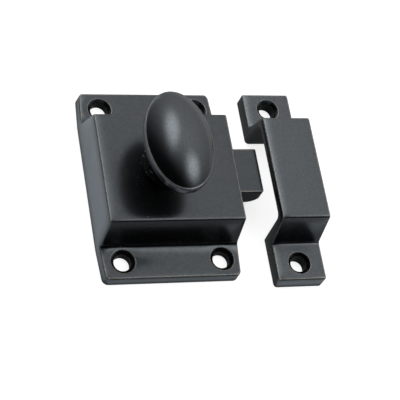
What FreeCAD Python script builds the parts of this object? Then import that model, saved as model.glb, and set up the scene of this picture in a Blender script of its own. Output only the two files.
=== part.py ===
import FreeCAD, Part
import math
import os

# Cupboard catch latch: a cast case with an oval turn knob and a sprung bolt, and its cast strike.
# Millimetres. The origin is at the centre of the case's back face. X runs towards the bolt's nose
# and the strike, Y runs along the case, and Z runs out of the back face towards the knob.

V = FreeCAD.Vector
X_AXIS = V(1, 0, 0)
Z_AXIS = V(0, 0, 1)

# Case casting
case_length = 57.0
case_width = 40.5
case_height = 13.2
case_flange = 3.25
case_top_length = 32.3
case_end_slope = 14.5
case_side_draft = 5.0
bolt_side_draft = 1.0
case_flange_draft = 4.5
case_flange_inset = 0.6
corner_radius = 1.8
taper_blend = 20.0
root_fillet = 0.9
top_fillet = 0.8
arris_fillet = 0.4
edge_band = 2.0

# Inside of the case
roof_thickness = 2.7
side_wall = 2.5
end_wall = 2.4
cavity_draft = 1.5
cavity_corner = 1.5
plate_ledge_x = 1.6
plate_ledge_y = 2.6
rib_thickness = 1.8
screw_boss_radius = 2.3
screw_boss_inset_x = 2.2
screw_boss_inset_y = 0.3

# Wood screw holes in the case and in the strike, each near the middle of its flange
hole_inset_x = 6.25
hole_offset = -0.412
hole_diameter = 4.8
countersink_diameter = 6.9
strike_hole_offset = 0.334
strike_hole_diameter = 4.6
strike_countersink = 6.6

# Back plate and its small screws
plate_thickness = 1.0
plate_recess_gap = 0.1
plate_side_gap = 0.15
plate_screw_diameter = 2.0
plate_screw_head = 3.6
plate_screw_length = 5.0
plate_screw_gap = 0.02
plate_screw_slot = 0.5
plate_screw_room = 0.5

# Bolt
nose_width = 13.3
bolt_thickness = 6.4
bolt_travel = 7.2
nose_proud = 0.7
nose_radius = 4.0
nose_corner = 0.6
tail_width = 20.0
tail_room = 0.4
bolt_roof_gap = 0.1
bolt_side_gap = 0.2
shoulder_gap = 0.25
bolt_arris = 0.35
nose_root = 2.0
tail_corner = 1.0

# Spindle
spindle_offset = -1.6
collar_diameter = 5.2
collar_side_gap = 0.35
journal_diameter = 4.6
journal_gap = 0.05
square_size = 3.6
tenon_length = 8.5
end_diameter = 3.6
end_lip = 0.5

# Crank, its pin and its clip
knob_turn = 70.0
crank_thickness = 1.2
crank_bolt_gap = 0.3
crank_hub_radius = 3.9
crank_eye_radius = 2.5
pin_diameter = 3.0
pin_side_gap = 0.25
pin_depth = 2.6
pin_end_gap = 0.4
pin_play = 0.4
clip_thickness = 0.5
clip_gap = 0.05
clip_outer_radius = 3.4
groove_depth = 0.4

# Spring and its guide pin
spring_diameter = 3.8
spring_wire = 0.45
spring_turns = 11
spring_pocket_diameter = 4.3
spring_offset = 6.9
pocket_length = 18.0
spring_end_gap = 0.05
guide_diameter = 2.2
guide_length = 16.0
guide_seat = 1.5

# Knob
knob_length = 29.5
knob_width = 18.6
knob_rim_height = 25.5
knob_band = 2.5
knob_dome = 4.75
knob_bowl = 6.0
knob_lean = 1.0
knob_arris = 0.5
foot_radius = 6.6
foot_thickness = 0.9
foot_gap = 0.15
waist_radius = 4.2
waist_height = 3.2
neck_flare = 5.6
neck_shoulder_radius = 4.9
neck_sink = 3.0

# Strike casting
strike_length = 59.0
strike_width = 14.3
strike_height = 15.1
strike_flange = 4.3
strike_top_length = 31.0
strike_end_slope = 14.2
strike_flange_draft = 4.2
strike_side_draft = 0.2
strike_leg = 1.7
strike_opening_draft = 5.0
strike_opening_offset = 0.5
strike_bridge = 3.5
strike_gap = 1.8
strike_centre_y = -1.4
strike_corner = 1.0
strike_opening_fillet = 1.1
strike_inner_fillet = 1.2

# How far a cutting tool reaches past the face that it cuts
overrun = 1.0

# Levels and places that follow from the values above
roof_z = case_height - roof_thickness
bolt_top_z = roof_z - bolt_roof_gap
bolt_bottom_z = bolt_top_z - bolt_thickness
bolt_mid_z = bolt_bottom_z + bolt_thickness / 2
plate_top_z = plate_recess_gap + plate_thickness
crank_top_z = bolt_bottom_z - crank_bolt_gap
crank_bottom_z = crank_top_z - crank_thickness
front_half_x = case_width / 2 - case_height * math.tan(math.radians(case_side_draft))
cavity_half_x = front_half_x - side_wall
cavity_half_y = case_top_length / 2 - end_wall
case_root_y = case_top_length / 2 + (case_height - case_flange) * math.tan(math.radians(case_end_slope))
hole_x = case_width / 2 - hole_inset_x
hole_y = (case_length / 2 + case_root_y) / 2 + hole_offset
half_turn = math.radians(knob_turn / 2)
crank_radius = bolt_travel / (2 * math.sin(half_turn))
pin_x = spindle_offset + crank_radius * math.sin(half_turn)
tail_back_x = tail_room + bolt_travel - cavity_half_x
shoulder_x = cavity_half_x - shoulder_gap
nose_reach = front_half_x + nose_proud + bolt_travel
rib_inner_y = tail_width / 2 + bolt_side_gap
knob_base_z = case_height + foot_gap
strike_centre_x = nose_reach + strike_gap + strike_width / 2
strike_root_rise = (strike_height - strike_flange) * math.tan(math.radians(strike_end_slope))
strike_root_y = strike_top_length / 2 + strike_root_rise
strike_hole_y = (strike_length / 2 + strike_root_y) / 2 + strike_hole_offset
screw_places = [
    (sx * (cavity_half_x - screw_boss_inset_x), sy * (cavity_half_y - screw_boss_inset_y))
    for sx in (-1, 1)
    for sy in (-1, 1)
]


def slope(length, degrees):
    return length * math.tan(math.radians(degrees))


def cylinder(radius, low_z, high_z, x=0.0, y=0.0):
    return Part.makeCylinder(radius, high_z - low_z, V(x, y, low_z), Z_AXIS)


def block(low, high):
    size = V(*high) - V(*low)
    return Part.makeBox(size.x, size.y, size.z, V(*low))


def rounded_wire(points, radii, place):
    """Closed wire through 2D points, with an arc of the given radius at each corner."""
    flat = [V(u, v, 0) for u, v in points]
    stops = []
    for i, corner in enumerate(flat):
        back = (flat[i - 1] - corner).normalize()
        ahead = (flat[(i + 1) % len(flat)] - corner).normalize()
        half = back.getAngle(ahead) / 2
        reach = radii[i] / math.tan(half)
        middle = (back + ahead).normalize()
        near = middle * (radii[i] / math.sin(half) - radii[i])
        stops.append((corner + back * reach, corner + near, corner + ahead * reach))
    edges = []
    for i, (start, middle, end) in enumerate(stops):
        if radii[i] > 0:
            edges.append(Part.Arc(place(start), place(middle), place(end)).toShape())
        following = stops[(i + 1) % len(stops)][0]
        edges.append(Part.LineSegment(place(end), place(following)).toShape())
    return Part.Wire(edges)


def at_height(z):
    return lambda p: V(p.x, p.y, z)


def across(x):
    return lambda p: V(x, p.x, p.y)


def along(y):
    return lambda p: V(p.x, y, p.y)


def rectangle(half_x, half_y, radius, z, x=0.0, y=0.0):
    points = [
        (x - half_x, y - half_y),
        (x + half_x, y - half_y),
        (x + half_x, y + half_y),
        (x - half_x, y + half_y),
    ]
    return rounded_wire(points, [radius] * 4, at_height(z))


def countersunk_hole(x, y, flange, hole, sink):
    """Through hole with a 90 degree countersink that opens at the flange's front face."""
    depth = (sink - hole) / 2
    shank = cylinder(hole / 2, -overrun, flange + overrun, x, y)
    place = V(x, y, flange - depth)
    cone = Part.makeCone(hole / 2, sink / 2 + overrun, depth + overrun, place, Z_AXIS)
    return shank.fuse(cone)


def hat_profile(half_length, flange, height, half_top, end_slope, end_draft, low_x, high_x):
    """Raised middle between two flanges, seen along X, as a bar that runs along X."""
    half_root = half_top + slope(height - flange, end_slope)
    half_flange = half_length - slope(flange, end_draft)
    right = [(half_length, 0), (half_flange, flange), (half_root, flange), (half_top, height)]
    left = [(-y, z) for y, z in reversed(right)]
    radii = [0, 0, root_fillet, top_fillet]
    wire = rounded_wire(right + left, radii + radii[::-1], across(low_x))
    return Part.Face(wire).extrude(X_AXIS * (high_x - low_x))


def case_outline(z):
    """Outline of the case seen from the front, straight beside the raised middle, tapering after it.

    The side that the bolt comes out of stands almost square to the front face.
    """
    left_x = slope(z, case_side_draft) - case_width / 2
    right_x = front_half_x + slope(case_height - z, bolt_side_draft)
    half_y = case_length / 2
    right = [(right_x - case_flange_inset, -half_y), (right_x, -case_root_y),
             (right_x, case_root_y), (right_x - case_flange_inset, half_y)]
    left = [(left_x + case_flange_inset, half_y), (left_x, case_root_y),
            (left_x, -case_root_y), (left_x + case_flange_inset, -half_y)]
    radii = [corner_radius, taper_blend, taper_blend, corner_radius]
    return rounded_wire(right + left, radii + radii, at_height(z))


def round_front_edges(shape, width, length, flange):
    """Rounds the edge that runs round the front of a casting, where its sides meet its front."""
    front = []
    for edge in shape.Edges:
        middle = edge.valueAt((edge.FirstParameter + edge.LastParameter) / 2)
        on_side = abs(middle.x) > width / 2 - edge_band
        on_end = abs(middle.y) > length / 2 - edge_band
        if edge.BoundBox.ZMin > flange / 2 and (on_side or on_end):
            front.append(edge)
    return shape.makeFillet(arris_fillet, front)


def case_shell():
    outside = Part.makeLoft([case_outline(0), case_outline(case_height)], True, True)
    hat = hat_profile(case_length / 2, case_flange, case_height, case_top_length / 2,
                      case_end_slope, case_flange_draft, -case_width, case_width)
    shell = outside.common(hat)
    return round_front_edges(shell, case_width, case_length, case_flange)


def case_cavity():
    narrow = slope(roof_z, cavity_draft)
    mouth = rectangle(cavity_half_x + narrow, cavity_half_y + narrow, cavity_corner, 0)
    roof = rectangle(cavity_half_x, cavity_half_y, cavity_corner, roof_z)
    return Part.makeLoft([mouth, roof], True, True)


def case_ribs():
    """Two ribs under the roof that guide the tail of the bolt."""
    low_z = bolt_bottom_z - crank_bolt_gap
    outer_y = rib_inner_y + rib_thickness
    upper = block((-cavity_half_x, rib_inner_y, low_z), (cavity_half_x, outer_y, roof_z))
    lower = block((-cavity_half_x, -outer_y, low_z), (cavity_half_x, -rib_inner_y, roof_z))
    return [upper, lower]


def case():
    shape = case_shell().cut(case_cavity())
    inner = case_ribs()
    for x, y in screw_places:
        inner.append(cylinder(screw_boss_radius, plate_top_z, roof_z, x, y))
    shape = shape.fuse(inner)
    recess_x = cavity_half_x + plate_ledge_x
    recess_y = cavity_half_y + plate_ledge_y
    recess = Part.Face(rectangle(recess_x, recess_y, cavity_corner, -overrun))
    cuts = [recess.extrude(Z_AXIS * (plate_top_z + overrun))]
    half_mouth = nose_width / 2 + bolt_side_gap
    cuts.append(block((cavity_half_x - overrun, -half_mouth, bolt_bottom_z - bolt_side_gap),
                      (case_width, half_mouth, roof_z)))
    bore = journal_diameter / 2 + journal_gap
    cuts.append(cylinder(bore, roof_z - overrun, case_height + overrun, spindle_offset))
    for x in (-hole_x, hole_x):
        for y in (-hole_y, hole_y):
            cuts.append(countersunk_hole(x, y, case_flange, hole_diameter, countersink_diameter))
    for x, y in screw_places:
        depth = plate_recess_gap + plate_screw_length + plate_screw_room
        cuts.append(cylinder(plate_screw_diameter / 2 + plate_screw_gap, 0, depth, x, y))
    seat = Part.makeCylinder(guide_diameter / 2, guide_seat,
                             V(-cavity_half_x - guide_seat, spring_offset, bolt_mid_z), X_AXIS)
    cuts.append(seat)
    return shape.cut(cuts).removeSplitter()


def back_plate():
    half_x = cavity_half_x + plate_ledge_x - plate_side_gap
    half_y = cavity_half_y + plate_ledge_y - plate_side_gap
    sheet = Part.Face(rectangle(half_x, half_y, cavity_corner, plate_recess_gap))
    shape = sheet.extrude(Z_AXIS * plate_thickness)
    hole = plate_screw_diameter / 2 + plate_side_gap
    head = plate_screw_head / 2 + plate_side_gap
    for x, y in screw_places:
        shape = shape.cut(cylinder(hole, 0, plate_top_z + overrun, x, y))
        sink = Part.makeCone(head, hole, head - hole, V(x, y, plate_recess_gap), Z_AXIS)
        shape = shape.cut(sink)
    return shape


def back_plate_screw(x, y):
    """Small countersunk screw with a slotted head, its head flush with the plate."""
    head = plate_screw_head / 2
    shank = plate_screw_diameter / 2
    cone = Part.makeCone(head, shank, head - shank, V(x, y, plate_recess_gap), Z_AXIS)
    rod = cylinder(shank, plate_recess_gap, plate_recess_gap + plate_screw_length, x, y)
    slot = block((x - head, y - plate_screw_slot / 2, 0),
                 (x + head, y + plate_screw_slot / 2, plate_recess_gap + plate_screw_slot / 2))
    return cone.fuse(rod).cut(slot).removeSplitter()


def back_plate_screws():
    return Part.makeCompound([back_plate_screw(x, y) for x, y in screw_places])


def bolt_nose():
    """Nose of the bolt: rounded underneath, so that a closing door pushes it back on the strike."""
    half_y = nose_width / 2
    back_x = shoulder_x - nose_root
    points = [(back_x, bolt_bottom_z), (nose_reach, bolt_bottom_z),
              (nose_reach, bolt_top_z), (back_x, bolt_top_z)]
    wire = rounded_wire(points, [0, nose_radius, bolt_arris, 0], along(-half_y))
    nose = Part.Face(wire).extrude(V(0, nose_width, 0))
    plan = rounded_wire([(back_x, -half_y), (nose_reach, -half_y), (nose_reach, half_y), (back_x, half_y)],
                        [0, nose_corner, nose_corner, 0], at_height(bolt_bottom_z))
    return nose.common(Part.Face(plan).extrude(Z_AXIS * bolt_thickness))


def bolt():
    half_tail = tail_width / 2
    tail_face = rounded_wire([(tail_back_x, -half_tail), (shoulder_x, -half_tail),
                              (shoulder_x, half_tail), (tail_back_x, half_tail)],
                             [tail_corner] * 4, at_height(bolt_bottom_z))
    tail = Part.Face(tail_face).extrude(Z_AXIS * bolt_thickness)
    shape = tail.fuse(bolt_nose())
    half_slot = collar_diameter / 2 + collar_side_gap
    slot_z = (bolt_bottom_z - overrun, bolt_top_z + overrun)
    ahead_x = spindle_offset + bolt_travel
    slot = cylinder(half_slot, *slot_z, spindle_offset)
    slot = slot.fuse(cylinder(half_slot, *slot_z, ahead_x))
    slot = slot.fuse(block((spindle_offset, -half_slot, slot_z[0]), (ahead_x, half_slot, slot_z[1])))
    half_pin = pin_diameter / 2 + pin_side_gap
    reach = crank_radius + pin_diameter / 2 + pin_play
    track = block((pin_x - half_pin, -reach, bolt_bottom_z - overrun),
                  (pin_x + half_pin, 0, bolt_bottom_z + pin_depth + pin_end_gap))
    pocket = Part.makeCylinder(spring_pocket_diameter / 2, pocket_length,
                               V(tail_back_x, spring_offset, bolt_mid_z), X_AXIS)
    return shape.cut([slot, track, pocket]).removeSplitter()


def spring():
    """Compression spring between the case's wall and the end of the pocket in the bolt's tail."""
    start = spring_end_gap - cavity_half_x
    end = tail_back_x + pocket_length - spring_end_gap
    radius = (spring_diameter - spring_wire) / 2
    run = end - start - spring_wire
    helix = Part.makeHelix(run / spring_turns, run, radius)
    profile = Part.Wire(Part.makeCircle(spring_wire / 2, V(radius, 0, 0), V(0, 1, 0)))
    coil = Part.Wire(helix).makePipeShell([profile], True, True)
    coil.rotate(V(0, 0, 0), V(0, 1, 0), 90)
    coil.translate(V(start + spring_wire / 2, spring_offset, bolt_mid_z))
    return coil


def spring_guide_pin():
    """Steel pin in the case's wall that keeps the spring straight."""
    start = -cavity_half_x - guide_seat
    return Part.makeCylinder(guide_diameter / 2, guide_seat + guide_length,
                             V(start, spring_offset, bolt_mid_z), X_AXIS)


def spindle():
    """Turned spindle: lip and clip groove, square for the crank, collar, journal and tenon."""
    groove_z = crank_bottom_z - clip_thickness - clip_gap * 2
    low_z = groove_z - end_lip
    end = end_diameter / 2
    shape = cylinder(end, low_z, groove_z, spindle_offset)
    shape = shape.fuse(cylinder(end - groove_depth, groove_z, crank_bottom_z, spindle_offset))
    half = square_size / 2
    shape = shape.fuse(block((spindle_offset - half, -half, crank_bottom_z),
                             (spindle_offset + half, half, crank_top_z)))
    shape = shape.fuse(cylinder(collar_diameter / 2, crank_top_z, bolt_top_z, spindle_offset))
    shape = shape.fuse(cylinder(journal_diameter / 2, bolt_top_z, knob_base_z + tenon_length, spindle_offset))
    return shape.removeSplitter()


def crank_plate():
    """Pear-shaped lever on the spindle's square, with an eye for the pin."""
    spread = math.acos((crank_hub_radius - crank_eye_radius) / crank_radius)
    side = math.sin(spread)
    rise = math.cos(spread)
    hub_x = side * crank_hub_radius
    hub_y = -rise * crank_hub_radius
    eye_x = side * crank_eye_radius
    eye_y = -crank_radius - rise * crank_eye_radius
    corners = [V(hub_x, hub_y, crank_bottom_z), V(eye_x, eye_y, crank_bottom_z),
               V(-eye_x, eye_y, crank_bottom_z), V(-hub_x, hub_y, crank_bottom_z)]
    web = Part.Face(Part.makePolygon(corners + corners[:1])).extrude(Z_AXIS * crank_thickness)
    plate = cylinder(crank_hub_radius, crank_bottom_z, crank_top_z)
    plate = plate.fuse([web, cylinder(crank_eye_radius, crank_bottom_z, crank_top_z, 0, -crank_radius)])
    plate = plate.cut(cylinder(pin_diameter / 2, crank_bottom_z, crank_top_z, 0, -crank_radius))
    plate = plate.removeSplitter()
    plate.rotate(V(0, 0, 0), Z_AXIS, knob_turn / 2)
    half = square_size / 2
    plate = plate.cut(block((-half, -half, crank_bottom_z), (half, half, crank_top_z)))
    plate.translate(V(spindle_offset, 0, 0))
    return plate


def crank_pin():
    """Riveted pin that runs in the cross track of the bolt's tail."""
    y = -crank_radius * math.cos(half_turn)
    return cylinder(pin_diameter / 2, crank_bottom_z, bolt_bottom_z + pin_depth, pin_x, y)


def retaining_clip():
    """Open ring that snaps into the groove below the crank."""
    low_z = crank_bottom_z - clip_gap - clip_thickness
    high_z = low_z + clip_thickness
    inner = end_diameter / 2 - groove_depth + clip_gap
    ring = cylinder(clip_outer_radius, low_z, high_z, spindle_offset)
    ring = ring.cut(cylinder(inner, low_z, high_z, spindle_offset))
    open_x = spindle_offset + clip_outer_radius + overrun
    gap = block((spindle_offset, -inner, low_z), (open_x, inner, high_z))
    return ring.cut(gap)


def cap_arc(edge_y, edge_z, rise):
    """Arc from the rim to the axis, level where it meets the axis."""
    radius = (edge_y ** 2 + rise ** 2) / (2 * abs(rise))
    half_angle = math.asin(edge_y / radius) / 2
    sagitta = radius * (1 - math.cos(half_angle))
    middle = V(0, radius * math.sin(half_angle), edge_z + math.copysign(abs(rise) - sagitta, rise))
    return Part.Arc(V(0, edge_y, edge_z), middle, V(0, 0, edge_z + rise))


def knob_head():
    """Oval head: a turned profile with bowl, band and dome, made oval by narrowing it along X."""
    half = knob_length / 2
    low_z = knob_rim_height
    high_z = low_z + knob_band
    soft = knob_arris * (1 - math.sqrt(0.5))
    inner = half - knob_arris
    bowl = cap_arc(inner, low_z, -knob_bowl)
    low = Part.Arc(V(0, inner, low_z), V(0, half - soft, low_z + soft), V(0, half, low_z + knob_arris))
    band = Part.LineSegment(V(0, half, low_z + knob_arris), V(0, half, high_z - knob_arris))
    high = Part.Arc(V(0, half, high_z - knob_arris), V(0, half - soft, high_z - soft), V(0, inner, high_z))
    dome = cap_arc(inner, high_z, knob_dome)
    axis = Part.LineSegment(V(0, 0, high_z + knob_dome), V(0, 0, low_z - knob_bowl))
    profile = Part.Wire(Part.sortEdges([curve.toShape() for curve in (bowl, low, band, high, dome, axis)])[0])
    head = Part.Face(profile).revolve(V(0, 0, 0), Z_AXIS, 360)
    narrow = FreeCAD.Matrix()
    narrow.scale(knob_width / knob_length, 1, 1)
    head = head.transformGeometry(narrow)
    head.rotate(V(0, 0, 0), Z_AXIS, knob_lean)
    return head


def knob_neck():
    """Round foot on the case and a waisted neck that flares into the bowl of the head."""
    foot_z = knob_base_z + foot_thickness
    waist_z = knob_base_z + waist_height
    top_z = knob_rim_height - knob_bowl + neck_sink
    base = Part.makePolygon([V(neck_flare, 0, top_z), V(0, 0, top_z), V(0, 0, knob_base_z),
                             V(foot_radius, 0, knob_base_z), V(foot_radius, 0, foot_z)])
    flare = Part.BSplineCurve()
    flare.interpolate([V(foot_radius, 0, foot_z), V(neck_shoulder_radius, 0, (foot_z + waist_z) / 2),
                       V(waist_radius, 0, waist_z), V(neck_flare, 0, top_z)])
    profile = Part.Wire(base.Edges + [flare.toShape()])
    return Part.Face(profile).revolve(V(0, 0, 0), Z_AXIS, 360)


def knob():
    shape = knob_head().fuse(knob_neck())
    shape = shape.cut(cylinder(journal_diameter / 2, knob_base_z, knob_base_z + tenon_length))
    shape.translate(V(spindle_offset, 0, 0))
    return shape


def strike_outline(z):
    half_x = strike_width / 2 - slope(z, strike_side_draft)
    return rectangle(half_x, strike_length / 2, strike_corner, z)


def opening_edges(shape, low_half, under_z):
    """Edges where the opening under the bridge meets the two sides of the strike."""
    found = []
    for edge in shape.Edges:
        middle = edge.valueAt((edge.FirstParameter + edge.LastParameter) / 2)
        on_side = abs(middle.x) > strike_width / 2 - edge_band
        inside = abs(middle.y - strike_opening_offset) < low_half and 0 < middle.z < under_z + arris_fillet
        if on_side and inside and edge.BoundBox.ZMax > strike_inner_fillet:
            found.append(edge)
    return found


def strike():
    """Cast bridge that the bolt's nose slides under, on two flanges with a screw hole in each."""
    outside = Part.makeLoft([strike_outline(0), strike_outline(strike_height)], True, True)
    hat = hat_profile(strike_length / 2, strike_flange, strike_height, strike_top_length / 2,
                      strike_end_slope, strike_flange_draft, -strike_width, strike_width)
    shape = round_front_edges(outside.common(hat), strike_width, strike_length, strike_flange)
    under_z = strike_height - strike_bridge
    high_half = strike_top_length / 2 - strike_leg
    low_half = high_half + slope(under_z, strike_opening_draft)
    corners = [(low_half, 0), (high_half, under_z), (-high_half, under_z), (-low_half, 0)]
    points = [(y + strike_opening_offset, z) for y, z in corners]
    radii = [0, strike_inner_fillet, strike_inner_fillet, 0]
    opening = Part.Face(rounded_wire(points, radii, across(-strike_width)))
    shape = shape.cut(opening.extrude(X_AXIS * strike_width * 2))
    shape = shape.makeFillet(strike_opening_fillet, opening_edges(shape, low_half, under_z))
    for y in (-strike_hole_y, strike_hole_y):
        shape = shape.cut(countersunk_hole(0, y, strike_flange, strike_hole_diameter, strike_countersink))
    shape.translate(V(strike_centre_x, strike_centre_y, 0))
    return shape


nodes = {
    "case": case,
    "back_plate": back_plate,
    "back_plate_screws": back_plate_screws,
    "bolt": bolt,
    "bolt_spring": spring,
    "spring_guide_pin": spring_guide_pin,
    "spindle": spindle,
    "crank_plate": crank_plate,
    "crank_pin": crank_pin,
    "retaining_clip": retaining_clip,
    "knob": knob,
    "strike": strike,
}

os.makedirs("parts", exist_ok=True)
for name, make in nodes.items():
    shape = make()
    shape.exportStep("parts/" + name + ".step")
    print(name, "solids", len(shape.Solids), "valid", shape.isValid(), "volume", round(shape.Volume, 1))
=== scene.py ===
import math

import bpy
from mathutils import Matrix, Quaternion, Vector

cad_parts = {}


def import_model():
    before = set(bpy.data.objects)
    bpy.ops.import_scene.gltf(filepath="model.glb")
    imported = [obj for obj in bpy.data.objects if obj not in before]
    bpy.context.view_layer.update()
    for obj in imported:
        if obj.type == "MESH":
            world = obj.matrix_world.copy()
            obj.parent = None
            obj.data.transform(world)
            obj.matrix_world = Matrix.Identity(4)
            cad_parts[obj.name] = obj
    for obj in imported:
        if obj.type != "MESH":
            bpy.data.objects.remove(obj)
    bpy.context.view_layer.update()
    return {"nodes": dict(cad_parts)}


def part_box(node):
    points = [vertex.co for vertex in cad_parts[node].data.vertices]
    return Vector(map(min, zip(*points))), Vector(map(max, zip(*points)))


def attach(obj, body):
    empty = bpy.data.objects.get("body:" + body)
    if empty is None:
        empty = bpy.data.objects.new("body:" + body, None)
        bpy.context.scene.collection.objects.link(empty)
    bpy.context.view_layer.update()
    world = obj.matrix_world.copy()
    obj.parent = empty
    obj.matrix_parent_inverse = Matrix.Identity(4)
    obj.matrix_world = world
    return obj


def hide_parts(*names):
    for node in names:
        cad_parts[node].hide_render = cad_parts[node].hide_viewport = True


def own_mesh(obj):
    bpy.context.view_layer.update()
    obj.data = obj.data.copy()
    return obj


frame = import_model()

# The cupboard catch latch dressed for a studio picture. Metres, in the same frame as the solids:
# the origin is at the centre of the case's back face, X runs towards the bolt's nose and the strike,
# Y runs along the case and Z runs out of the back face towards the knob.

MM = 0.001
NODES = frame["nodes"]
WHITE = (1.0, 1.0, 1.0)

# Camera, solved from the edges of the case in the photograph
CAMERA_PLACE = Vector((-0.12927, -0.17958, 0.35409))
CAMERA_RIGHT = Vector((0.94157, -0.16334, 0.29456))
CAMERA_UP = Vector((0.01441, 0.89327, 0.44929))
LENS_MM = 135.9
SENSOR_MM = 36.0
CLIP_NEAR = 0.01
CLIP_FAR = 20.0

# Sky: white to the camera, and to the object a pale dome behind it with two soft oval panels, one over
# the back left and one over the front right
DOME_CENTRE = (0.488, 0.687, 0.538)
DOME_EDGE = -0.07
DOME_FULL = 0.91
DOME_LOW = 0.58
DOME_HIGH = 1.32
DARK_SIDE = 0.004
PANEL_EDGE = 1.7
PANEL_LEFT = {
    "azimuth": 114.4, "elevation": 54.4, "roll": -48.4,
    "width": 0.280, "height": 0.430, "radiance": 2.4,
}
PANEL_RIGHT = {
    "azimuth": -28.4, "elevation": 53.1, "roll": 27.4,
    "width": 0.266, "height": 0.366, "radiance": 2.5,
}

# Floor: white to the camera. In mirror and glass rays it is tinted cooler, has painted shade close round
# the object, and has a painted glow on its left side and in a strip ahead of the case and the strike,
# which lights the object's reflections
FLOOR_SIZE = 6.0
FLOOR_PAINT = (0.48, 0.48, 0.48)
FLOOR_SHADED = (0.20, 0.20, 0.20)
FLOOR_COOL = (0.84, 0.93, 1.0)
FLOOR_SEEN = 0.80
SHADE_REACH = (48 * MM, 85 * MM)
GLOW_LOW = 0.07
GLOW_LEFT = 0.80
GLOW_AHEAD = 0.66
LEFT_EDGE_X = (-22 * MM, -19 * MM)
STRIP_NEAR_Y = (-29.5 * MM, -28.3 * MM)
STRIP_FAR_Y = (-34.5 * MM, -32.0 * MM)
STRIKE_SIDE_X = (22 * MM, 27 * MM)
STRIKE_AHEAD = 2.4 * MM

# Screw holes. The coat's reflection is darkened as painted shade in the bores, out to the bore reach from
# their axes, and between there and RIM_REACH the face has no soft roll
CASE_HOLES = [(x, y) for x in (-14.0 * MM, 14.0 * MM) for y in (-23.2 * MM, 23.2 * MM)]
STRIKE_HOLES = [(35.95 * MM, y) for y in (22.8 * MM, -25.6 * MM)]
BORE_SHADE_REACH = (2.5 * MM, 2.9 * MM)
RIM_REACH = (4.0 * MM, 5.6 * MM)

# Case: foot of its end walls, and the dish of the flanges outside it, which reaches further on the right
CASE_ROOT_Y = 18.7 * MM
ROOT_SPREAD = 0.3 * MM
DISH_ENDS_X = (-14 * MM, 12 * MM)
DISH_REACH = (4.5 * MM, 8.0 * MM)
DISH_STEEP = 0.42
DISH_LEVEL = 0.02

# Strike: lean of its level faces, from its side by the bolt to its far side
STRIKE_ENDS_X = (29 * MM, 43 * MM)
STRIKE_LEAN = (-0.11, -0.03)

# Knob: up to the top of the neck its coat is rough and its reflection is darkened as painted shade under
# the head, and its foot has light marks that are partly painted glints
NECK_TOP_Z = 22 * MM
NECK_FADE = 2 * MM
NECK_ROUGHNESS = 0.75
FOOT_TOP_Z = 15 * MM
FOOT_FADE = 1 * MM

# Bolt spring: closed and ground at both ends
SPRING_DIAMETER = 3.8 * MM
SPRING_WIRE = 0.45 * MM
SPRING_TURNS = 11
SPRING_STEPS = 32
SPRING_SIDES = 12
CLOSED_TURN = (0.7, 1.2)
CLOSED_PITCH = 1.03 * SPRING_WIRE

# Coat: its colours, among them the light colour of its arrises, lightened by rubbing and by a painted
# highlight, the reach of those arrises, the share of the faces' soft roll and the spread of its roughness
COAT = (0.0016, 0.0018, 0.0020)
COAT_DARK = tuple(0.75 * c for c in COAT)
COAT_LIGHT = tuple(1.35 * c for c in COAT)
COAT_TINT = (0.84, 0.93, 1.0)
BLACK = (0.0, 0.0, 0.0)
RUBBED_AND_HIGHLIGHT = (0.82, 0.76, 0.62)
ARRIS_REACH = 0.6 * MM
ROLL_SHARE = 0.32
ROUGH_SPREAD = 0.03

# Noises in the finishes: the ranges that they mostly fill, and their scales from coarse to fine
NOISE_RANGE = (0.35, 0.65)
NOISE_WIDE_RANGE = (0.3, 0.7)
SMUDGES = 45.0
MOTTLE = 110.0
CLUSTERS = 160.0
CLOUD = 260.0
ORANGE_PEEL = 420.0
DRAWN_LINES = 900.0
PITTING = 1500.0
GRAIN = 2000.0
SPECKS = 2300.0


def new_material(name):
    material = bpy.data.materials.new(name)
    material.use_nodes = True
    material.node_tree.nodes.clear()
    return material


class Nodes:
    """Short calls for building a node tree."""

    def __init__(self, tree):
        self.tree = tree

    def add(self, kind, values=None, **settings):
        node = self.tree.nodes.new(kind)
        for name, value in settings.items():
            setattr(node, name, value)
        for socket, value in (values or {}).items():
            self.fill(node.inputs[socket], value)
        return node

    def fill(self, socket, value):
        """Links the socket to another one, or sets its own value."""
        if isinstance(value, bpy.types.NodeSocket):
            self.tree.links.new(value, socket)
        else:
            socket.default_value = value

    def math(self, operation, first, second=0.0, clamp=False):
        values = {0: first, 1: second}
        return self.add("ShaderNodeMath", values, operation=operation, use_clamp=clamp).outputs[0]

    def product(self, first, *others):
        for other in others:
            first = self.math("MULTIPLY", first, other)
        return first

    def vector(self, operation, first, second=None):
        values = {0: first} if second is None else {0: first, 1: second}
        node = self.add("ShaderNodeVectorMath", values, operation=operation)
        return node.outputs["Value" if operation in ("DOT_PRODUCT", "LENGTH") else "Vector"]

    def part(self, vector, axis):
        return self.add("ShaderNodeSeparateXYZ", {0: vector}).outputs[axis]

    def facing_up(self):
        """1 on faces that look up and -1 on those that look down."""
        return self.part(self.add("ShaderNodeNewGeometry").outputs["Normal"], "Z")

    def noise(self, place, scale, detail=2.0, roughness=0.5):
        values = {"Vector": place, "Scale": scale, "Detail": detail, "Roughness": roughness}
        return self.add("ShaderNodeTexNoise", values).outputs["Fac"]

    def remap(self, value, low, high, to_low=0.0, to_high=1.0, curve="LINEAR"):
        values = {"Value": value, "From Min": low, "From Max": high, "To Min": to_low, "To Max": to_high}
        node = self.add("ShaderNodeMapRange", values, clamp=True, interpolation_type=curve)
        return node.outputs["Result"]

    def blend(self, factor, first, second):
        node = self.add("ShaderNodeMix", {"Factor": factor}, data_type="RGBA")
        for socket, value in ((6, first), (7, second)):
            self.fill(node.inputs[socket], (*value, 1.0) if isinstance(value, tuple) else value)
        return node.outputs[2]

    def finish(self, kind, shader):
        output = self.add(kind)
        self.tree.links.new(shader.outputs[0], output.inputs["Surface"])


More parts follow.
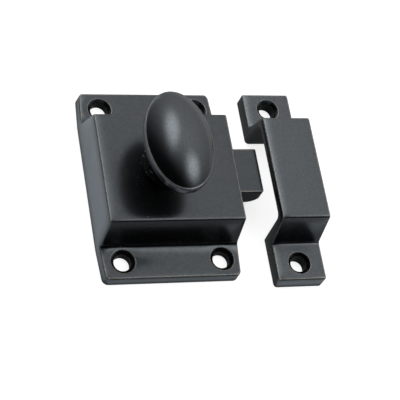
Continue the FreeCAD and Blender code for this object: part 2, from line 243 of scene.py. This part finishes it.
def edge_mask(nodes):
    """1 on the arrises and 0 on the flats, from how soon lines into the metal come out again."""
    values = {"Distance": ARRIS_REACH}
    inside = nodes.add("ShaderNodeAmbientOcclusion", values, samples=12, inside=True).outputs["AO"]
    return nodes.remap(inside, 0.72, 0.90, 1.0, 0.0)


def rubbed_and_highlit_arrises(nodes, broad, fine, rubbing_and_highlight_amount):
    """Arrises lightened unevenly by rubbing, and by a painted highlight that is strongest where a face
    looks up.
    """
    patchy = nodes.remap(broad, *NOISE_RANGE, 0.6, 1.0)
    broken = nodes.remap(fine, 0.35, 0.6, 0.6, 1.0)
    # Painted highlight: faces that look up get the full light arris colour, other faces only a share of
    # it
    highlight_from_above = nodes.remap(nodes.facing_up(), 0.6, 0.95, 0.15 * rubbing_and_highlight_amount, rubbing_and_highlight_amount)
    return nodes.product(edge_mask(nodes), patchy, broken, highlight_from_above)


def light_specks(nodes, place):
    """A few light specks in loose clusters."""
    spots = nodes.remap(nodes.noise(place, SPECKS, 1.0), 0.71, 0.77, 0.0, 0.12)
    return nodes.product(spots, nodes.remap(nodes.noise(place, CLUSTERS), 0.48, 0.62))


def foot_marks_and_glints(nodes, place):
    """Light marks round the foot of the knob's neck: partly rubbing from turning, partly painted glints
    on the foot's edge.
    """
    marks = nodes.remap(nodes.noise(place, PITTING, 3.0, 0.6), 0.62, 0.68, 0.0, 0.35)
    foot = nodes.remap(nodes.part(place, "Z"), FOOT_TOP_Z, FOOT_TOP_Z + FOOT_FADE, 1.0, 0.0)
    return nodes.product(marks, foot)


def clear_of_neck(nodes, place):
    """0 on the knob's neck and the underside of its head, where the coat is rough and its reflection is
    darkened as painted shade, and 1 elsewhere.
    """
    above = nodes.remap(nodes.part(place, "Z"), NECK_TOP_Z - NECK_FADE, NECK_TOP_Z)
    return nodes.product(above, nodes.remap(nodes.facing_up(), -0.6, -0.2))


def away_from_holes(nodes, place, centres, inner, outer):
    """0 nearer than inner to the axis of a screw hole, 1 past outer."""
    clear = []
    for x, y in centres:
        level = nodes.vector("MULTIPLY", nodes.vector("ADD", place, (-x, -y, 0.0)), (1.0, 1.0, 0.0))
        clear.append(nodes.remap(nodes.vector("LENGTH", level), inner, outer))
    return nodes.product(*clear)


def rolled_normal(nodes, near, far, share):
    """Normal of a casting whose faces roll off gently towards their edges, and sharply at the arris."""
    sharp = nodes.add("ShaderNodeBevel", {"Radius": near}, samples=8).outputs["Normal"]
    if far == 0:
        return sharp
    gentle = nodes.add("ShaderNodeBevel", {"Radius": far}, samples=12).outputs["Normal"]
    values = {"Factor": share, 4: sharp, 5: gentle}
    both = nodes.add("ShaderNodeMix", values, data_type="VECTOR").outputs[1]
    return nodes.vector("NORMALIZE", both)


def flange_dish(nodes, place):
    """Lean of the case's flanges, which the casting dishes up towards the foot of its end walls."""
    along = nodes.part(place, "Y")
    off = nodes.math("SUBTRACT", nodes.math("ABSOLUTE", along), CASE_ROOT_Y)
    outside = nodes.math("GREATER_THAN", off, -ROOT_SPREAD)
    reach = nodes.remap(nodes.part(place, "X"), *DISH_ENDS_X, *DISH_REACH)
    near = nodes.math("SUBTRACT", 1.0, nodes.math("DIVIDE", off, reach), clamp=True)
    steep = nodes.math("ADD", nodes.product(near, near, DISH_STEEP), DISH_LEVEL)
    lean = nodes.product(steep, outside, nodes.math("SIGN", along))
    return nodes.add("ShaderNodeCombineXYZ", {"Y": lean}).outputs["Vector"]


def bridge_crown(nodes, place):
    """Lean of the strike's faces towards the catch, most at the side that the bolt comes from."""
    lean = nodes.remap(nodes.part(place, "X"), *STRIKE_ENDS_X, *STRIKE_LEAN)
    return nodes.add("ShaderNodeCombineXYZ", {"X": lean}).outputs["Vector"]


def leaned(nodes, place, normal, lean):
    """The normal with a lean added, on faces that look up."""
    values = {0: lean(nodes, place), "Scale": nodes.remap(nodes.facing_up(), 0.6, 0.9)}
    amount = nodes.add("ShaderNodeVectorMath", values, operation="SCALE").outputs["Vector"]
    return nodes.vector("NORMALIZE", nodes.vector("ADD", normal, amount))


def coated_metal(name, roughness, ior, near, grain, far=0.0, holes=(), lean=None, neck=False, rubbing_and_highlight_amount=1.0):
    """Satin black coating, slightly mottled, with faint orange peel and soft arrises lightened by rubbing
    and by a painted highlight; painted shade dims the reflection in screw bores and on the knob's neck.
    """
    material = new_material(name)
    nodes = Nodes(material.node_tree)
    place = nodes.add("ShaderNodeTexCoord").outputs["Object"]
    broad = nodes.noise(place, MOTTLE, 4.0, 0.6)
    fine = nodes.noise(place, PITTING, 3.0, 0.65)
    smudge = nodes.noise(place, SMUDGES, 4.0, 0.6)
    mottled = nodes.blend(nodes.remap(broad, *NOISE_RANGE), COAT_DARK, COAT_LIGHT)
    rough = nodes.remap(smudge, *NOISE_WIDE_RANGE, roughness - ROUGH_SPREAD, roughness + ROUGH_SPREAD)
    gloss = nodes.remap(nodes.noise(place, GRAIN, 2.0, 0.6), *NOISE_RANGE, 0.78, 1.0)
    arris_rubbing_and_highlight = rubbed_and_highlit_arrises(nodes, broad, fine, rubbing_and_highlight_amount)
    if neck:
        off_neck = clear_of_neck(nodes, place)
        light_marks_and_highlight = nodes.math("MAXIMUM", nodes.product(arris_rubbing_and_highlight, off_neck), foot_marks_and_glints(nodes, place))
        rough = nodes.math("MAXIMUM", rough, nodes.remap(off_neck, 0.0, 1.0, NECK_ROUGHNESS, 0.0))
        # Painted shade under the head: the neck's reflection drops to a tenth
        gloss = nodes.product(gloss, nodes.remap(off_neck, 0.0, 1.0, 0.10, 1.0))
    else:
        light_marks_and_highlight = nodes.math("MAXIMUM", arris_rubbing_and_highlight, light_specks(nodes, place))
    share = ROLL_SHARE
    if holes:
        bore_shade = away_from_holes(nodes, place, holes, *BORE_SHADE_REACH)
        # Painted shade in the bores: their reflection drops to about an eighth
        gloss = nodes.product(gloss, nodes.remap(bore_shade, 0.0, 1.0, 0.12, 1.0))
        share = nodes.product(away_from_holes(nodes, place, holes, *RIM_REACH), ROLL_SHARE)
    normal = rolled_normal(nodes, near, far, share)
    if lean is not None:
        normal = leaned(nodes, place, normal, lean)
    wavy = nodes.noise(place, ORANGE_PEEL)
    peel = nodes.add("ShaderNodeBump", {
        "Strength": 0.6,
        "Distance": grain,
        "Height": nodes.math("ADD", nodes.product(wavy, 0.6), nodes.product(fine, 0.4)),
        "Normal": normal,
    })
    shader = nodes.add("ShaderNodeBsdfPrincipled", {
        "Base Color": nodes.blend(light_marks_and_highlight, mottled, RUBBED_AND_HIGHLIGHT),
        "Roughness": rough,
        "IOR": ior,
        "Specular Tint": (*COAT_TINT, 1.0),
        "Normal": peel.outputs["Normal"],
    })
    nodes.fill(shader.inputs["Specular Tint"], nodes.blend(gloss, BLACK, COAT_TINT))
    nodes.finish("ShaderNodeOutputMaterial", shader)
    return material


def bright_metal(name, color, roughness, stretch):
    """Bare or plated metal with fine drawn or turned lines along one axis."""
    material = new_material(name)
    nodes = Nodes(material.node_tree)
    place = nodes.add("ShaderNodeTexCoord").outputs["Object"]
    mapped = nodes.add("ShaderNodeMapping", {"Vector": place, "Scale": stretch}).outputs["Vector"]
    lines = nodes.noise(mapped, DRAWN_LINES, 3.0, 0.65)
    cloud = nodes.remap(nodes.noise(place, CLOUD, 3.0), *NOISE_WIDE_RANGE)
    dark = tuple(0.72 * c for c in color)
    bump = nodes.add("ShaderNodeBump", {"Strength": 0.35, "Distance": 0.004 * MM, "Height": lines})
    shader = nodes.add("ShaderNodeBsdfPrincipled", {
        "Base Color": nodes.blend(cloud, dark, color),
        "Metallic": 1.0,
        "Roughness": nodes.remap(lines, *NOISE_WIDE_RANGE, roughness - 0.06, roughness + 0.08),
        "Normal": bump.outputs["Normal"],
    })
    nodes.finish("ShaderNodeOutputMaterial", shader)
    return material


def dress(material, *names):
    for name in names:
        mesh = NODES[name].data
        mesh.materials.clear()
        mesh.materials.append(material)


def new_object(name, points, faces):
    mesh = bpy.data.meshes.new(name)
    mesh.from_pydata(points, [], faces)
    obj = bpy.data.objects.new(name, mesh)
    bpy.context.scene.collection.objects.link(obj)
    return obj


def smooth_step(low, high, value):
    share = min(max((value - low) / (high - low), 0.0), 1.0)
    return share * share * (3.0 - 2.0 * share)


def wire_places(start, end):
    """Places along X of the wire's centre, a step apart, close at both ends and evenly open between."""
    steps = SPRING_TURNS * SPRING_STEPS
    shares = []
    for step in range(steps):
        turn = (step + 0.5) / SPRING_STEPS
        shares.append(smooth_step(*CLOSED_TURN, turn) * smooth_step(*CLOSED_TURN, SPRING_TURNS - turn))
    closed = CLOSED_PITCH / SPRING_STEPS
    opened = (end - start - closed * steps) / sum(shares)
    places = [start]
    for share in shares:
        places.append(places[-1] + closed + opened * share)
    return places


def wire_points(low, high):
    """Rings of points round the wire, ground off level at both ends of the spring."""
    middle = (low + high) / 2
    coil_radius = (SPRING_DIAMETER - SPRING_WIRE) / 2
    wire_radius = SPRING_WIRE / 2
    sink = wire_radius / 2
    points = []
    for step, x in enumerate(wire_places(low.x + sink, high.x - sink)):
        turn = 2 * math.pi * step / SPRING_STEPS
        for side in range(SPRING_SIDES):
            angle = 2 * math.pi * side / SPRING_SIDES
            reach = coil_radius + wire_radius * math.cos(angle)
            along = min(max(x + wire_radius * math.sin(angle), low.x), high.x)
            points.append((along, middle.y + reach * math.cos(turn), middle.z + reach * math.sin(turn)))
    return points


def wire_faces(rings):
    """Faces between neighbouring rings, and one at each end of the wire."""
    faces = []
    for here in range(0, (rings - 1) * SPRING_SIDES, SPRING_SIDES):
        there = here + SPRING_SIDES
        for side in range(SPRING_SIDES):
            after = (side + 1) % SPRING_SIDES
            faces.append((here + side, here + after, there + after, there + side))
    faces.append(tuple(reversed(range(SPRING_SIDES))))
    faces.append(tuple(range((rings - 1) * SPRING_SIDES, rings * SPRING_SIDES)))
    return faces


def fine_spring(material):
    """Compression spring in the CAD spring's place."""
    low, high = (Vector(corner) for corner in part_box("bolt_spring"))
    points = wire_points(low, high)
    obj = new_object("bolt_spring_wire", points, wire_faces(len(points) // SPRING_SIDES))
    obj.data.polygons.foreach_set("use_smooth", [True] * len(obj.data.polygons))
    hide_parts("bolt_spring")
    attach(obj, "case_body")
    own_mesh(obj)
    obj.data.materials.append(material)


def painted_floor_glow(nodes, place):
    """Painted glow that the floor shows only in mirror and glass rays: on its left side and in the strip
    ahead.
    """
    across = nodes.part(place, "X")
    left = nodes.remap(across, *LEFT_EDGE_X, GLOW_LEFT, GLOW_LOW, "SMOOTHSTEP")
    stepped = nodes.remap(across, *STRIKE_SIDE_X, 0.0, STRIKE_AHEAD)
    ahead = nodes.math("ADD", nodes.part(place, "Y"), stepped)
    near = nodes.remap(ahead, *STRIP_NEAR_Y, GLOW_AHEAD, GLOW_LOW, "SMOOTHSTEP")
    far = nodes.remap(ahead, *STRIP_FAR_Y, GLOW_LOW, GLOW_AHEAD, "SMOOTHSTEP")
    return nodes.math("MAXIMUM", left, nodes.math("MINIMUM", near, far))


def white_stage_material():
    """White floor that keeps the object's shadow. In mirror and glass rays it is cooler, with painted
    shade close round the object and a painted glow.
    """
    material = new_material("white_stage")
    nodes = Nodes(material.node_tree)
    path = nodes.add("ShaderNodeLightPath")
    place = nodes.add("ShaderNodeNewGeometry").outputs["Position"]
    reflected = nodes.math("MAXIMUM", path.outputs["Is Glossy Ray"], path.outputs["Is Transmission Ray"])
    seen = nodes.product(path.outputs["Is Camera Ray"], FLOOR_SEEN)
    strength = nodes.math("ADD", seen, nodes.product(reflected, painted_floor_glow(nodes, place)))
    # Painted shade: in mirror and glass rays the floor's paint darkens close round the object
    close = nodes.remap(nodes.vector("LENGTH", place), *SHADE_REACH, 1.0, 0.0, "SMOOTHSTEP")
    color = nodes.blend(nodes.product(reflected, close), FLOOR_PAINT, FLOOR_SHADED)
    paint = nodes.add("ShaderNodeBsdfDiffuse", {"Color": color})
    tint = nodes.blend(reflected, WHITE, FLOOR_COOL)
    glow = nodes.add("ShaderNodeEmission", {"Color": tint, "Strength": strength})
    both = nodes.add("ShaderNodeAddShader", {0: paint.outputs[0], 1: glow.outputs[0]})
    nodes.finish("ShaderNodeOutputMaterial", both)
    return material


def floor():
    half = FLOOR_SIZE / 2
    corners = [(-half, -half, 0), (half, -half, 0), (half, half, 0), (-half, half, 0)]
    obj = new_object("floor", corners, [(0, 1, 2, 3)])
    obj.data.materials.append(white_stage_material())


def soft_panel(nodes, toward, azimuth, elevation, roll, width, height, radiance):
    """Soft-edged oval light in the sky. Azimuth counts from +X towards +Y. Width and height are sines."""
    a = math.radians(azimuth)
    e = math.radians(elevation)
    centre = Vector((math.cos(a) * math.cos(e), math.sin(a) * math.cos(e), math.sin(e)))
    level = Vector((-math.sin(a), math.cos(a), 0.0))
    turn = Quaternion(centre, math.radians(roll))
    squares = []
    for axis, reach in ((turn @ level, width), (turn @ centre.cross(level), height)):
        share = nodes.math("DIVIDE", nodes.vector("DOT_PRODUCT", toward, tuple(axis)), reach)
        squares.append(nodes.product(share, share))
    total = nodes.math("ADD", *squares)
    fall = nodes.product(nodes.math("POWER", total, PANEL_EDGE), -1.0)
    return nodes.product(nodes.math("EXPONENT", fall), radiance)


def world():
    """White to camera and glass rays. To the object it is the dome and the panels, dark in front."""
    sky = bpy.data.worlds.new("studio")
    sky.use_nodes = True
    sky.node_tree.nodes.clear()
    nodes = Nodes(sky.node_tree)
    path = nodes.add("ShaderNodeLightPath")
    toward = nodes.add("ShaderNodeTexCoord").outputs["Generated"]
    behind = nodes.remap(nodes.vector("DOT_PRODUCT", toward, DOME_CENTRE), DOME_EDGE, DOME_FULL,
                         curve="SMOOTHSTEP")
    light = nodes.product(behind, nodes.remap(nodes.part(toward, "Z"), 0.0, 1.0, DOME_LOW, DOME_HIGH))
    for panel in (PANEL_LEFT, PANEL_RIGHT):
        light = nodes.math("ADD", light, soft_panel(nodes, toward, **panel))
    strength = nodes.math("ADD", light, DARK_SIDE)
    dim = nodes.add("ShaderNodeBackground", {"Color": (*WHITE, 1.0), "Strength": strength})
    white = nodes.add("ShaderNodeBackground", {"Color": (*WHITE, 1.0), "Strength": 1.0})
    seen = nodes.math("MAXIMUM", path.outputs["Is Camera Ray"], path.outputs["Is Transmission Ray"])
    both = nodes.add("ShaderNodeMixShader", {0: seen, 1: dim.outputs[0], 2: white.outputs[0]})
    nodes.finish("ShaderNodeOutputWorld", both)
    bpy.context.scene.world = sky


def camera():
    data = bpy.data.cameras.new("camera")
    data.lens = LENS_MM
    data.sensor_width = SENSOR_MM
    data.clip_start = CLIP_NEAR
    data.clip_end = CLIP_FAR
    obj = bpy.data.objects.new("camera", data)
    back = CAMERA_RIGHT.cross(CAMERA_UP)
    axes = Matrix((CAMERA_RIGHT, CAMERA_UP, back)).transposed()
    obj.matrix_world = Matrix.Translation(CAMERA_PLACE) @ axes.to_4x4()
    bpy.context.scene.collection.objects.link(obj)
    bpy.context.scene.camera = obj


coated_casting = coated_metal(
    "coated_casting", roughness=0.23, ior=1.77, near=0.45 * MM, far=5.0 * MM, grain=0.010 * MM,
    holes=CASE_HOLES, lean=flange_dish,
)
coated_strike = coated_metal(
    "coated_strike", roughness=0.22, ior=1.90, near=0.35 * MM, far=4.0 * MM, grain=0.016 * MM,
    holes=STRIKE_HOLES, lean=bridge_crown,
)
coated_bolt = coated_metal(
    "coated_bolt", roughness=0.20, ior=1.74, near=0.35 * MM, far=2.0 * MM, grain=0.010 * MM, rubbing_and_highlight_amount=0.25,
)
coated_knob = coated_metal(
    "coated_knob", roughness=0.20, ior=1.91, near=0.20 * MM, grain=0.022 * MM, neck=True,
)
plated_steel = bright_metal("plated_steel", (0.62, 0.62, 0.60), 0.34, stretch=(1.0, 0.08, 1.0))
spring_steel = bright_metal("spring_steel", (0.46, 0.46, 0.47), 0.26, stretch=(0.1, 1.0, 1.0))

dress(coated_casting, "case")
dress(coated_strike, "strike")
dress(coated_bolt, "bolt")
dress(coated_knob, "knob")
dress(plated_steel, "back_plate", "back_plate_screws", "spindle", "crank_plate")
dress(spring_steel, "bolt_spring", "spring_guide_pin", "crank_pin", "retaining_clip")
fine_spring(spring_steel)

camera()
world()
floor()
bpy.context.scene.view_settings.view_transform = "Standard"
